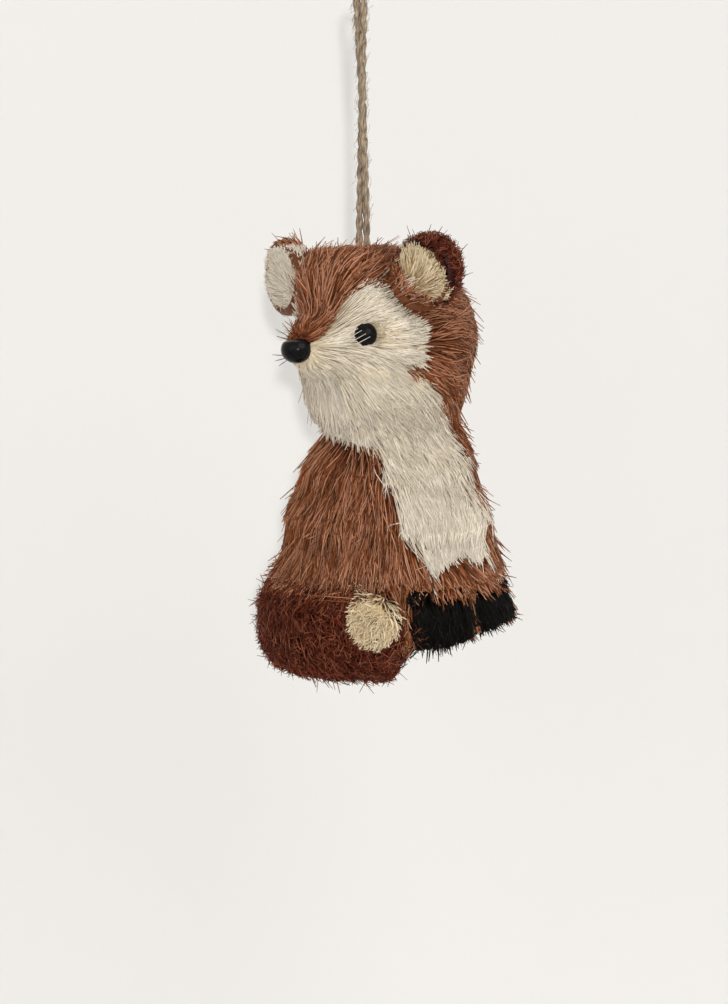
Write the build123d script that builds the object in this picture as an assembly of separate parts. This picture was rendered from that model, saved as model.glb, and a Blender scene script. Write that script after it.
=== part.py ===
from build123d import *
import os
from math import cos, pi, radians, sin, tan

# A hanging fox ornament: foam cores on a wooden neck peg, wrapped in coats of plant-fibre bristle,
# with bead eyes and nose, and a loop of jute twine whose knot sits in a collar in the crown.
#
# Row frame: +Z is up along the twine, and the origin is where the loop bears on its hook.
# The viewer stands at -Y: the fox's head looks to the left and near side, its chest to the right.

# ---- twine loop and its seat -------------------------------------------------------------------
twine_diameter = 2.0
twine_spacing = 2.2          # centre to centre of the two legs where they leave the knot
knot_radius = 3.3
knot_depth = 83.2            # from the hook contact down to the knot's centre
knot_flat = 2.4              # height of the flat on the knot, where the two legs come together
leg_gap = 0.1                # keeps the slightly splayed legs off that flat
seat_clearance = 0.3         # between the knot and its spherical seat
collar_radius = 6.2
collar_height = 4.6
collar_rise = 1.85           # the collar's top above the knot's centre
collar_mouth_slope = 0.47    # opens the mouth for the swing of the legs
collar_mouth_radius = 2.6
mouth_height = 12.0
knot_groove = 0.35           # depth of the grooves between the knot's three turns
pocket_radius = 2.5          # room under the collar for the knot's foot
pocket_depth = 1.0
hook_half_span = 2.6         # from the middle of the bend to each leg at the hook
leg_high = (1.5, -0.2, -12.0)
leg_low = (0.35, -1.05, -42.0)   # the legs cross over here
bend_share = 0.45            # share of the shorter run that each bend takes

# ---- head ----------------------------------------------------------------------------------------
head_across = 0.0            # head datum, left to right
head_near = -10.2            # head datum, towards the viewer
head_height = -103.0
head_turn = 45.0             # degrees the face is turned to the viewer's left
head_dip = 5.0               # degrees the muzzle points down
ball_back = 8.0              # ball centre behind the head datum
ball_core_radius = 18.0
ball_coat_radius = 24.0
muzzle_tip = 22.6            # where the nose sits, ahead of the head datum
muzzle_coat_tip_radius = 5.2
muzzle_core_tip_radius = 2.6
muzzle_coat_waist = (14.0, 10.6)
muzzle_core_waist = (12.0, 6.6)
muzzle_shoulder = 48.0       # degrees off the forward axis where the muzzle leaves the ball
brow_forward = 1.3           # middle of the bristly brow, ahead of the head datum
brow_line = [(16.2, -4.0), (16.0, 12.0), (14.4, 20.0), (10.6, 23.8)]   # radius, height over the datum
forehead_half_angle = 27.0
mask_line = [             # height over the datum and place along the head of the cream mask's rear edge
    (-90.0, -9.7), (-11.7, -9.7), (-7.0, -2.3), (-1.0, -2.6), (4.6, -1.8), (9.6, 1.1), (15.2, 3.4),
]
chin_half_angle = 46.0
chin_start = -2.6
brow_start = 3.0             # the crown's coat takes over behind this
coat_clearance = 0.1

eye_diameter = 6.2
eye_forward = 10.8
eye_side = 11.8
eye_lift = 2.0
eye_toe_in = 0.6             # how much the eyes look ahead rather than sideways
pin_diameter = 1.2
pin_length = 8.0
bead_clearance = 0.2

nose_width = 8.3
nose_height = 6.8
nose_flat = 2.6              # height of the nose's flatter top over its middle
nose_stand = 2.2             # the nose's middle ahead of the muzzle's end
post_diameter = 2.0
post_length = 9.0

# ---- ears ----------------------------------------------------------------------------------------
ear_side = 25.6
ear_lift = 17.4
ear_forward = 0.4
ear_width = 19.0
ear_height = 20.5
ear_thickness = 6.0
ear_outward = 15.0           # degrees each ear faces away from straight ahead
ear_lean = 45.0              # degrees each ear leans away from upright
lining_width = 16.4
lining_height = 16.8
lining_floor = 0.4           # the lining stands in the pile from here, ahead of the ear's middle plane
lining_front = 3.2
lining_drop = 0.9            # the lining sits this much nearer the ear's root
dome_share = 0.78            # how far a coat's outline draws in at its face
backing_thickness = 1.2
backing_width = 14.0
backing_height = 15.5
tab_width = 6.0
tab_length = 19.0
card_set_back = 1.2

# ---- body ----------------------------------------------------------------------------------------
lean_near = 9.3              # degrees the body's top leans towards the viewer
lean_left = 1.5              # degrees it leans to the left
core_base_radius = 21.0
core_top_radius = 9.0
core_height = 62.0
core_edge = 1.5
top_across = 6.0             # the cone's top: across, away from the viewer, and below the head datum
top_far = -2.2
top_drop = 14.8
tier_heights = [0.0, 14.0, 28.0, 42.0, 58.0]
coat_line = [(0.0, 31.0), (10.0, 30.4), (22.0, 27.6), (32.0, 26.0), (42.0, 22.4), (53.0, 17.0), (58.0, 15.0)]
tier_step = 0.8              # each tier's hem stands this far out of the coat line
pad_radius = core_base_radius + 1.8
pad_thickness = 2.0
peg_diameter = 6.0
peg_into_head = 12.0
peg_into_body = 22.0
peg_clearance = 0.05

chest_turn = -45.0           # azimuth of the chest, counter-clockwise from the viewer's right
bib_half_angles = [0.0, 24.0, 38.0, 47.0]
bib_stand = 0.6              # the bib stands this far out of the brown coat
paw_swing = 19.0             # azimuth from the chest to the middle of each paw
paw_half_angle = 17.5
paw_height = 13.5
paw_radius = 33.0
paw_inner_radius = 25.5
paw_sole_inset = 1.0
paw_widest = (3.0, 7.0)      # heights between which the paw is widest
paw_corner = 2.5
sole_start = 14.0            # right of the body's axis the hem and the soles are trimmed on a slope from here
sole_slope = 13.0            # degrees

ruff_line = [(9.0, 22.2), (17.0, 20.6), (23.0, 17.4), (29.0, 16.0)]   # below the ball's centre, radius
ruff_inner_radius = 10.0
ruff_stand = 1.4             # how far the ruff's lower part stands out of the body's coat
ruff_lowest = 36.0           # height on the body that the lower part starts from
ruff_drop = 33.9             # from the ball's centre down to the hem over the chest
ruff_hem_rise = 0.35         # the hem rises this much for each millimetre away from the chest
ruff_part_line = -12.0       # where cream gives way to brown, ahead of the head datum

# ---- tail ----------------------------------------------------------------------------------------
tail_thickness = 13.6
tail_gap = 0.6               # between the tail and the cone
tail_centre_radius = core_base_radius + tail_gap + tail_thickness / 2
tail_lift = 2.5
tail_height = 23.0
tail_from = -97.0
tail_to = -205.0
tail_steps = 9               # straight runs in the tail's curve, and in each rounded end
cap_steps = 6
tail_core_thickness = 7.0
tail_core_height = 14.0
tail_clearance = 0.3
tip_turn = -97.5
tip_width = 14.4
tip_height = 16.4
tip_lift = 4.4
tip_floor = 0.2              # pile left between the tip's tuft and the tail's core
corner_share = 0.45          # how much of each side a bolster's eight-sided section keeps flat
tail_peg_diameter = 3.0
tail_peg_turn = -190.0
tail_peg_length = 14.0

sliver = 0.5                 # solids smaller than this are offcuts, in cubic millimetres

around = 24                  # flats that a soft round form is made of
FAR = 90.0                   # longer than anything that is cut


# ---- frames --------------------------------------------------------------------------------------
forward = Vector(-sin(radians(head_turn)), -cos(radians(head_turn)), 0)
left_side = Vector(cos(radians(head_turn)), -sin(radians(head_turn)), 0)
forward = forward * cos(radians(head_dip)) + Vector(0, 0, -sin(radians(head_dip)))
# In the head's frame x is the fox's left, y is up and z is forward.
head = Plane(origin=(head_across, head_near, head_height), x_dir=left_side, z_dir=forward).location
lean = (lean_near, -lean_left, 0)
body_top = Vector(top_across, top_far, head_height - top_drop)
body = Location(body_top, lean) * Pos(0, 0, -core_height)
knot_centre = Vector(0, 0, -knot_depth)


def turned(outline):
    """Solid of revolution about Z from (radius, height) points in order."""
    return revolve(Plane.XZ * make_face(Polyline(*outline, close=True)), Axis.Z)


def sector(azimuth, half_angle, low, high):
    """Wedge about Z, from the axis out past everything."""
    a = radians(azimuth - half_angle)
    b = radians(azimuth + half_angle)
    m = radians(azimuth)
    reach = FAR / cos(radians(half_angle))
    outline = Polyline(
        (0, 0), (reach * cos(a), reach * sin(a)), (reach * cos(m), reach * sin(m)),
        (reach * cos(b), reach * sin(b)), close=True,
    )
    return Pos(0, 0, low) * extrude(make_face(outline), high - low)


def in_flats(outline, start=0.0, turn=360.0, steps=around, oval=1.0):
    """Solid about Z from (radius, height) points in order, turned in straight steps: its faces are flat."""
    def corner(point, step):
        a = radians(start + turn * (step % steps if turn == 360 else step) / steps)
        return Vector(point[0] * cos(a), point[0] * sin(a) * oval, point[1])

    faces = []
    for low, high in zip(outline, outline[1:] + outline[:1]):
        for k in range(steps):
            ring = [corner(low, k), corner(high, k), corner(high, k + 1), corner(low, k + 1)]
            ring = [p for p, q in zip(ring, ring[1:] + ring[:1]) if (p - q).length > 1e-6]
            if len(ring) > 2:
                faces.append(Face(Wire.make_polygon(ring)))
    if turn != 360:
        faces += [Face(Wire.make_polygon([corner(p, k) for p in outline])) for k in (0, steps)]
    return Solid(Shell(faces)).clean()


def arc_points(radius, start, end, count):
    """(Across, along) points on a circle about the origin, from one angle off its low pole to another."""
    angles = [radians(start + (end - start) * i / count) for i in range(count + 1)]
    return [(radius * sin(a), -radius * cos(a)) for a in angles]


def stack_of_ovals(width, height, levels):
    """Straight-sided pile of ovals from (share of the size, height) levels."""
    outline = [(0, levels[0][1])] + [(width / 2 * share, z) for share, z in levels] + [(0, levels[-1][1])]
    return in_flats(outline, oval=height / width)


def coat_radius(height):
    """Outer radius of the body's coat at a height above the base."""
    for (h0, r0), (h1, r1) in zip(coat_line, coat_line[1:]):
        if height <= h1:
            return r0 + (r1 - r0) * (height - h0) / (h1 - h0)
    return coat_line[-1][1]


def core_radius(height):
    """Radius of the body's foam cone at a height above the base."""
    return core_base_radius + (core_top_radius - core_base_radius) * height / core_height


def solid_of(shape):
    """The largest solid of a cut shape, without slivers."""
    return max(shape.solids(), key=lambda s: s.volume)


# ---- head core and coat --------------------------------------------------------------------------
def head_form(ball_radius, waist, tip_radius, tip, bands):
    """Ball with a muzzle, about the head's forward axis, combed into a few straight bands."""
    ball = [(r, z - ball_back) for r, z in arc_points(ball_radius, 0, 180 - muzzle_shoulder, bands)]
    return in_flats(ball + [(waist[1], waist[0]), (tip_radius, tip), (0, tip)])


def brow_form():
    """The bristles that stand up over the forehead to a flat top."""
    outline = [(0, brow_line[0][1])] + brow_line + [(0, brow_line[-1][1])]
    return Pos(0, 0, brow_forward) * Rot(-90, 0, 0) * in_flats(outline)


head_core_form = head_form(ball_core_radius, muzzle_core_waist, muzzle_core_tip_radius, muzzle_tip, 5)
head_coat_form = head_form(ball_coat_radius, muzzle_coat_waist, muzzle_coat_tip_radius, muzzle_tip, 6)
head_coat_form += brow_form()

# Places on the head.
ball_centre = (head * Pos(0, 0, -ball_back)).position


def eye_place(side):
    """Frame at an eye's centre, z pointing out of the head."""
    out = Vector(side * eye_side, eye_lift, 0).normalized() + Vector(0, 0, eye_toe_in)
    return head * Plane(origin=(side * eye_side, eye_lift, eye_forward), z_dir=out).location


def ear_place(side):
    """Frame at an ear's centre: z is the way it faces and y points up along it."""
    return head * Pos(side * ear_side, ear_lift, ear_forward) * Rot(0, side * ear_outward, -side * ear_lean)


# ---- knot, collar and twine ----------------------------------------------------------------------
def make_knot():
    """Tight knot: three turns of twine with grooves between them, and a flat where the two legs leave it."""
    round_points = arc_points(knot_radius, 0, 180, 9)
    for groove in (3, 6):
        r, z = round_points[groove]
        round_points[groove] = (r - knot_groove, z)
    flat_end = (round_points[-3][0], knot_flat)
    return Pos(*knot_centre) * turned(round_points[:-3] + [flat_end, (0, knot_flat)])


def collar_blank(clearance=0.0):
    """The collar before it is bored."""
    blank = Cylinder(collar_radius + clearance, collar_height + 2 * clearance)
    return Pos(*knot_centre) * Pos(0, 0, collar_rise - collar_height / 2) * blank


def mouth_cone(clearance=0.0):
    """Flare that leaves room for the legs as the fox swings."""
    foot = collar_mouth_radius + clearance
    rim = foot + mouth_height * collar_mouth_slope
    return Pos(*knot_centre) * turned([(0, 0), (foot, 0), (rim, mouth_height), (0, mouth_height)])


def knot_seat():
    """Hollow that the knot turns in."""
    outer = (knot_radius + seat_clearance) / cos(radians(15))
    return Pos(*knot_centre) * turned(arc_points(outer, 0, 180, 6))


def knot_pocket():
    """Room under the collar for the knot's foot."""
    floor = collar_rise - collar_height - pocket_depth / 2
    return Pos(*knot_centre) * Pos(0, 0, floor) * Cylinder(pocket_radius, pocket_depth)


def make_collar():
    """Turned collar with a seat for the knot and a flared mouth."""
    return collar_blank() - knot_seat() - mouth_cone()


def make_loop():
    """Two straight legs of twine and the tight bend round the hook."""
    half = twine_diameter / 2
    foot = knot_flat + leg_gap - knot_depth
    near_leg = [(twine_spacing / 2, 0, foot), leg_low, leg_high, (hook_half_span, 0, half)]
    route = near_leg + [(-x, -y, z) for x, y, z in reversed(near_leg)]
    radii = []
    for a, b, c in zip(route, route[1:], route[2:]):
        before = Vector(*b) - Vector(*a)
        after = Vector(*c) - Vector(*b)
        turn = radians(before.get_angle(after))
        radii.append(bend_share * min(before.length, after.length) / tan(turn / 2))
    path = FilletPolyline(*route, radius=radii)
    tube = sweep(Plane(origin=path @ 0, z_dir=path % 0) * Circle(half), path=path)
    print("twine bend radii", [round(r, 1) for r in radii])
    section = tube.volume / path.length
    print("twine length", round(path.length, 1), "against section", round(section / (pi * half ** 2), 4))
    return tube


# ---- cores and pegs --------------------------------------------------------------------------------
def neck_peg(clearance=0.0):
    low = core_height - peg_into_body
    length = peg_into_body + peg_into_head
    return body * Pos(0, 0, low + length / 2) * Cylinder(peg_diameter / 2 + clearance, length)


def tail_peg(clearance=0.0):
    place = Pos(tail_centre_radius - tail_peg_length / 2, 0, tail_lift) * Rot(0, 90, 0)
    peg = Cylinder(tail_peg_diameter / 2 + clearance, tail_peg_length)
    return body * Rot(0, 0, tail_peg_turn) * place * peg


def eye_pin(side, clearance=0.0):
    return eye_place(side) * Pos(0, 0, -pin_length / 2) * Cylinder(pin_diameter / 2 + clearance, pin_length)


def nose_post(clearance=0.0):
    place = head * Pos(0, 0, muzzle_tip + nose_stand - post_length / 2)
    return place * Cylinder(post_diameter / 2 + clearance, post_length)


def ear_card(side, clearance=0.0):
    """Stiff card of the ear with the tab that is pushed into the head."""
    thickness = backing_thickness + 2 * clearance
    card = extrude(Ellipse(backing_width / 2 + clearance, backing_height / 2 + clearance), thickness)
    tab = Pos(0, -tab_length / 2, thickness / 2) * Box(tab_width + 2 * clearance, tab_length, thickness)
    return ear_place(side) * Pos(0, 0, -thickness / 2 - card_set_back) * (card + tab)


def make_body_core():
    """Foam cone, dished at its top for the head."""
    foot = [(0, 0), (core_base_radius - core_edge, 0), (core_radius(core_edge), core_edge)]
    cone = in_flats(foot + [(core_top_radius, core_height), (0, core_height)])
    return body * cone - head * head_core_form - neck_peg(peg_clearance) - tail_peg(peg_clearance)


def make_head_core():
    """Foam ball with its muzzle, and every hole that the pieces are pushed into."""
    core = head * head_core_form - nose_form(bead_clearance) - nose_post(peg_clearance)
    core = core - collar_blank() - neck_peg(peg_clearance) - knot_pocket()
    for side in (-1, 1):
        core = core - eye_pin(side, peg_clearance) - ear_card(side, peg_clearance)
    return core


# ---- head coat -------------------------------------------------------------------------------------
def mask_block():
    """Everything ahead of the cream mask's rear edge and under its top."""
    rear = [(y, z) for y, z in mask_line]
    outline = Polyline(*rear, (rear[-1][0], FAR), (rear[0][0], FAR), close=True)
    across = Plane(origin=(-FAR / 2, 0, 0), x_dir=(0, 1, 0), z_dir=(1, 0, 0))
    return extrude(across * make_face(outline), FAR)


def head_shell():
    """The whole coat of the head, before it is parted into its patches."""
    shell = head * head_coat_form - head * head_core_form
    shell = shell - collar_blank(coat_clearance) - mouth_cone(coat_clearance) - knot_pocket()
    cone = [(0, 0), (core_base_radius, 0), (core_top_radius, core_height), (0, core_height)]
    shell -= body * in_flats(cone)
    shell -= neck_peg(peg_clearance)
    for side in (-1, 1):
        shell -= eye_socket(side)
        shell = shell - eye_pin(side, peg_clearance) - ear_card(side, peg_clearance)
    return shell - nose_form(bead_clearance) - nose_post(peg_clearance)


def head_patches():
    """The coat of the head, parted along its colours."""
    shell = head.inverse() * head_shell()
    front = mask_block()
    upper = Pos(0, FAR / 2, 0) * Box(2 * FAR, FAR, 2 * FAR)
    near_half = Pos(FAR / 2, 0, 0) * Box(FAR, 2 * FAR, 2 * FAR)
    brow = sector(90, forehead_half_angle, brow_start, FAR)
    chin = sector(-90, chin_half_angle, chin_start, FAR)
    cheeks = (shell & front) - brow - chin
    back = (shell - front) - brow
    return {
        "forehead_bristles": shell & brow,
        "chin_bristles": (shell & front) & chin,
        "cheek_bristles_left": cheeks & near_half,
        "cheek_bristles_right": cheeks - near_half,
        "crown_bristles": back & upper,
        "nape_bristles": back - upper,
    }


def eye_socket(side):
    """Round pocket in the coat that an eye sits in."""
    radius = eye_diameter / 2 + bead_clearance
    return eye_place(side) * Pos(0, 0, FAR / 2 - radius) * Cylinder(radius, FAR)


def nose_form(clearance=0.0):
    """Bead of the nose: a short barrel lying across the muzzle, with a flatter top."""
    points = arc_points(1.0, 0, 180, 9)
    bead = turned([(r * (nose_height / 2 + clearance), z * (nose_width / 2 + clearance)) for r, z in points])
    top = Pos(0, nose_flat + clearance + FAR / 2, 0) * Box(FAR, FAR, FAR)
    return head * Pos(0, 0, muzzle_tip + nose_stand) * (Rot(0, 90, 0) * bead - top)


def make_eye(side):
    """Glossy bead on its pin."""
    return eye_place(side) * turned(arc_points(eye_diameter / 2, 0, 180, 10)) + eye_pin(side)


def make_ear(side):
    """Card, pile and lining of one ear."""
    place = ear_place(side)
    half = ear_thickness / 2
    lining_levels = [(1, lining_floor), (1, (lining_floor + lining_front) / 2), (dome_share, lining_front)]
    lining_form = place * Pos(0, -lining_drop, 0) * stack_of_ovals(lining_width, lining_height, lining_levels)
    pile_levels = [(dome_share, -half), (1, -half / 2), (1, half / 3), (dome_share, half)]
    pile = place * stack_of_ovals(ear_width, ear_height, pile_levels)
    room = (head * head_coat_form) + ear_card(side)
    return ear_card(side), solid_of(pile - room - lining_form), solid_of(lining_form - room)


# ---- throat ruff -------------------------------------------------------------------------------------
def ruff_parts(bib):
    """Collar of long bristles under the jaw, cream in front and brown behind."""
    outline = [(ruff_inner_radius, -ruff_line[0][0])] + [(r, -drop) for drop, r in ruff_line]
    outline += [(ruff_inner_radius, -ruff_line[-1][0])]
    ring = Pos(*ball_centre) * in_flats(outline) + body_envelope(ruff_stand, ruff_lowest)
    chest = Vector(1, 0, 0).rotate(Axis.Z, chest_turn)
    lowest = ball_centre + chest * ruff_line[0][1] - Vector(0, 0, ruff_drop)
    hem = Plane(origin=lowest, z_dir=chest * ruff_hem_rise + Vector(0, 0, 1))
    ring = split(ring, bisect_by=hem, keep=Keep.TOP)
    ring = ring - head * head_coat_form - body_envelope(coat_clearance) - bib
    front = head * Pos(0, 0, ruff_part_line + FAR / 2) * Box(2 * FAR, 2 * FAR, FAR)
    return {"throat_ruff": ring & front, "nape_ruff": ring - front}


# ---- body coat ---------------------------------------------------------------------------------------
def tier(index, stand=0.0):
    """One skirt of bristles round the cone, with its hem standing out over the next."""
    low, high = tier_heights[index], tier_heights[index + 1]
    outline = [(core_radius(low), low), (coat_radius(low) + tier_step + stand, low)]
    for h, r in coat_line:
        if low < h < high:
            outline.append((r + tier_step * (high - 2 * h + low) / (high - low) + stand, h))
    outline += [(coat_radius(high) - tier_step + stand, high), (core_radius(high), high)]
    return in_flats(outline)


def body_envelope(clearance=0.0, low=0.0):
    """Outer form of the body's coat from a height above the lowest hem."""
    line = [(coat_radius(low), low)] + [(r, h) for h, r in coat_line if h > low]
    top = coat_line[-1][0] + clearance
    outline = [(0, low)] + [(r + tier_step + clearance, h) for r, h in line]
    return body * in_flats(outline + [(line[-1][0] - clearance, top), (0, top)])


def body_coat():
    """Brown skirts, the cream bib and the black paws, in the body's frame."""
    head_room = body.inverse() * (head * head_coat_form)
    tail_room = tail_form(tail_clearance)
    peg = body.inverse() * tail_peg(peg_clearance)
    paws = [make_paw(-paw_swing) - below_sole(), make_paw(paw_swing) - below_sole()]
    parts = {}
    for index in range(4):
        skirt = tier(index) - head_room - tail_room - peg - below_sole()
        half_angle = bib_half_angles[index]
        if half_angle:
            bib = sector(chest_turn, half_angle, -FAR, FAR)
            parts[f"bib_bristles_{index}"] = (tier(index, bib_stand) & bib) - head_room
            skirt -= bib
        else:
            for paw in paws:
                skirt -= paw
        parts[f"body_bristles_{index + 1}"] = skirt
    parts["paw_bristles_left"], parts["paw_bristles_right"] = paws
    return {name: body * shape for name, shape in parts.items()}


def make_paw(swing):
    """Black paw: a rounded pad of bristle at the hem, in the body's frame."""
    shoulder = coat_radius(paw_height) + tier_step
    outline = [
        (paw_inner_radius, 0), (paw_radius - paw_sole_inset, 0), (paw_radius, paw_widest[0]),
        (paw_radius, paw_widest[1]), (shoulder, paw_height), (paw_inner_radius, paw_height),
    ]
    pad = turned(outline) & sector(chest_turn + swing, paw_half_angle, -FAR, FAR)
    upright = [e for e in pad.edges() if abs(e.tangent_at(0.5).Z) > 0.9]
    edge_line = paw_radius - paw_sole_inset / 2
    widest = [e for e in upright if Vector(e.center().X, e.center().Y, 0).length > edge_line]
    return chamfer(widest, paw_corner)


def below_sole():
    """Everything under the slope that the hem and the soles are trimmed to."""
    return Pos(sole_start, 0, 0) * Rot(0, -sole_slope, 0) * Pos(0, 0, -FAR / 2) * Box(2 * FAR, 2 * FAR, FAR)


def make_base_pad():
    pad = Pos(0, 0, -pad_thickness / 2) * Cylinder(pad_radius, pad_thickness)
    return body * (pad - tail_form(tail_clearance))


# ---- tail --------------------------------------------------------------------------------------------
def tail_tube(thickness, height):
    """Curved bolster about the body's axis with closed ends, in the body's frame."""
    wide, high = thickness / 2, height / 2
    inset_wide, inset_high = wide * corner_share, high * corner_share
    quarter = [(inset_wide, high), (wide, inset_high)]
    half = quarter + [(x, -z) for x, z in reversed(quarter)]
    outline = half + [(-x, z) for x, z in reversed(half)]
    outline = [(tail_centre_radius + x, tail_lift + z) for x, z in outline]
    tube = in_flats(outline, tail_to, tail_from - tail_to, tail_steps)
    cap = in_flats([(0, high), *half, (0, -high)], 0, 180, cap_steps)
    for turn, facing in ((tail_from, 0), (tail_to, 180)):
        tube += Rot(0, 0, turn) * Pos(tail_centre_radius, 0, tail_lift) * Rot(0, 0, facing) * cap
    return tube


def tail_form(clearance=0.0):
    return tail_tube(tail_thickness + 2 * clearance, tail_height + 2 * clearance)


def tail_parts():
    """Core, short pile and cream tip of the tail."""
    core = tail_tube(tail_core_thickness, tail_core_height)
    peg = body.inverse() * tail_peg(peg_clearance)
    floor = tail_centre_radius + tail_core_thickness / 2 + tip_floor
    place = Rot(0, 0, tip_turn) * Pos(floor, 0, tail_lift + tip_lift) * Rot(0, 90, 0)
    oval = extrude(place * Ellipse(tip_height / 2, tip_width / 2), tail_thickness)
    parts = {
        "tail_core": core - peg,
        "tail_bristles": tail_form() - core - peg - oval,
        "tail_tip_bristles": tail_form() & oval,
    }
    return {name: body * shape for name, shape in parts.items()}


# ---- everything ----------------------------------------------------------------------------------------
def make_parts():
    parts = {
        "hanging_loop": make_loop(),
        "loop_knot": make_knot(),
        "knot_collar": make_collar(),
        "head_core": make_head_core(),
        "neck_peg": neck_peg(),
        "body_core": make_body_core(),
        "tail_peg": tail_peg(),
        "base_pad": make_base_pad(),
        "nose": nose_form() + nose_post(),
        "eye_left": make_eye(1),
        "eye_right": make_eye(-1),
    }
    for side, name in ((1, "left"), (-1, "right")):
        card, pile, lining = make_ear(side)
        parts[f"ear_card_{name}"] = card
        parts[f"ear_pile_{name}"] = pile
        parts[f"ear_lining_{name}"] = lining
    parts.update(head_patches_in_place())
    coat = body_coat()
    parts.update(coat)
    parts.update(ruff_parts(coat["bib_bristles_3"]))
    parts.update(tail_parts())
    return parts


def head_patches_in_place():
    return {name: head * patch for name, patch in head_patches().items()}


def save(parts):
    os.makedirs("parts", exist_ok=True)
    for name, shape in parts.items():
        solids = [s for s in shape.solids() if s.volume > sliver]
        export_step(Compound(children=solids) if len(solids) > 1 else solids[0], f"parts/{name}.step")


save(make_parts())
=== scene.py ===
"""A hanging fox of combed bristle: the looks of each of its pieces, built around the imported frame."""

import math
import random
from collections import namedtuple
from contextlib import contextmanager

import bmesh
import bpy
import numpy as np
from bpy.props import FloatProperty, FloatVectorProperty, PointerProperty
from mathutils import Matrix, Quaternion, Vector
from mathutils.bvhtree import BVHTree


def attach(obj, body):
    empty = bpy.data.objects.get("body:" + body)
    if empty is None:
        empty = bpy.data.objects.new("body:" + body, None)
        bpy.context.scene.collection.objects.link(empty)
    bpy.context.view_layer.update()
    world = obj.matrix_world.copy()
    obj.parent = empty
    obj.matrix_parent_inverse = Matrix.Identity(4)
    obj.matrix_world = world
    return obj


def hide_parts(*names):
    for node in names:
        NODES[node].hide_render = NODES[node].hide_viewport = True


bl_info = {
    "name": "Hanging Bristle Fox",
    "version": (1, 0, 0),
    "blender": (4, 5, 0),
    "location": "3D View > Sidebar > Bristle Fox",
    "description": "Dresses the frame of a hanging fox in combed bristle, twine and beads",
    "category": "Object",
}

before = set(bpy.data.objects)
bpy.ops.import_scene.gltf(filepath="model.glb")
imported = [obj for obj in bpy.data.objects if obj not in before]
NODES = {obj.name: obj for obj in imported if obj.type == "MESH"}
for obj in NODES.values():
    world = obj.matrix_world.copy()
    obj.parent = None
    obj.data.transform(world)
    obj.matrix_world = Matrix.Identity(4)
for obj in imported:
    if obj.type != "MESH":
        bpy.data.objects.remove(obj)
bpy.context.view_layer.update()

MM = 0.001

# The head's own frame: where it stands, and its forward, left and upward directions.
HEAD_PLACE = Vector((0, -10.2, -103)) * MM
HEAD_TURN, HEAD_NOD = math.radians(45), math.radians(5)
HEAD_LEFT = Vector((math.cos(HEAD_TURN), -math.sin(HEAD_TURN), 0))
NOD_FLAT, NOD_DROP = math.cos(HEAD_NOD), math.sin(HEAD_NOD)
HEAD_FORWARD = Vector((-math.sin(HEAD_TURN) * NOD_FLAT, -math.cos(HEAD_TURN) * NOD_FLAT, -NOD_DROP))
HEAD_UP = HEAD_FORWARD.cross(HEAD_LEFT)
BALL_PLACE = HEAD_PLACE - HEAD_FORWARD * 8 * MM
NOSE_PLACE = HEAD_PLACE + HEAD_FORWARD * 24.8 * MM
EYES = [HEAD_PLACE + (HEAD_LEFT * s * 11.8 + HEAD_UP * 2.0 + HEAD_FORWARD * 10.8) * MM for s in (1, -1)]
BEADS = [NOSE_PLACE] + EYES
NOSE_SAG, NOSE_HALF, NOSE_FLAT = Vector((0, 0, 0.7)) * MM, (4.3, 3.9, 3.7), 2.0
EYE_HALF = (3.2, 3.2, 3.2)
EAR_LEFT, EAR_UP, EAR_AHEAD = 25.6, 17.4, 0.4
EAR_TURN, EAR_TIP = math.radians(15), math.radians(45)
EAR_ROOT = 9 * MM

# The body stands a little aslant under the head.
BODY_FRAME = (
    Matrix.Translation(Vector((7.6, 7.8, -179)) * MM)
    @ Matrix.Rotation(math.radians(9.3), 4, "X")
    @ Matrix.Rotation(math.radians(-1.5), 4, "Y")
)
BODY_INVERSE = BODY_FRAME.inverted()
BODY_UP = (BODY_FRAME.to_3x3() @ Vector((0, 0, 1))).normalized()
BIB_GATHER = Vector((26, -24, -186)) * MM

# The route of the twine loop, from the knot up one leg, over the hook and down the other.
LOOP_ROUTE = [
    (1.1, 0, -80.7), (0.35, -1.05, -42), (1.5, -0.2, -12), (2.6, 0, 1),
    (-2.6, 0, 1), (-1.5, 0.2, -12), (-0.35, 1.05, -42), (-1.1, 0, -80.7),
]

COAT_NODES = [n for n in NODES if "bristles" in n or "ruff" in n or "ear_" in n]
HEMMED = ("body_bristles", "bib_bristles", "paw_bristles", "ruff")
HEM_SLOPE = -0.72  # faces of those that look further down than this carry no bristle
COVER_GAP = 1.2 * MM  # a coat is covered where another piece stands closer than this
SIGHT = 30 * MM  # how far off what covers a coat is looked for
FINE_EDGE = 2.4 * MM  # the longest edge of a coat's fine mesh
WELD = 0.005 * MM  # points of a coat closer than this are the same
UNDERLAY_SHARE = 0.85  # an underlay's depth as a share of its bristle roots' depth
DRAWN_RINGS = 3  # rings of covered points that are drawn in with what shows

STEPS = 3  # straight runs in each bristle
SIDES = 3  # sides of each bristle
CLING = 0.75  # how closely a bristle follows the coat under it
REACH = 3.5 * MM  # how far over and under a bristle the coat is looked for
ASIDE = 4 * MM  # how far off a coat may lie for a bristle to follow it
FREE_SHARE = 0.3  # how far a run reaches where there is no coat to follow
COMBED_SHARE = 0.6  # how strongly each run after the first turns to the comb's way
OVER_FACING, NEAR_FACING = 0.15, -0.4  # how much a coat over or beside a bristle must face its way
WANDER = 0.2  # how far locks turn together
LENGTHS, TIP_RISES, STRAY_RISES = (0.6, 1.25), (0.2, 1.6), (0.8, 3.0)  # least and most; a stray's in mm
TRIES = 5  # how often a bristle that oversteps is cut back
CUT = 0.72  # what each cut leaves of its length

BEAD_ROOM = 3.5 * MM  # kept clear round the middle of a bead
BEAD_CROWD, CROWDING = 9 * MM, 2.5  # roots this near to a bead stand closer together, by up to this share
BEAD_TUCK, TUCK = 8 * MM, 2.4 * MM  # roots this near to a bead are set back this far, under its edge

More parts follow.
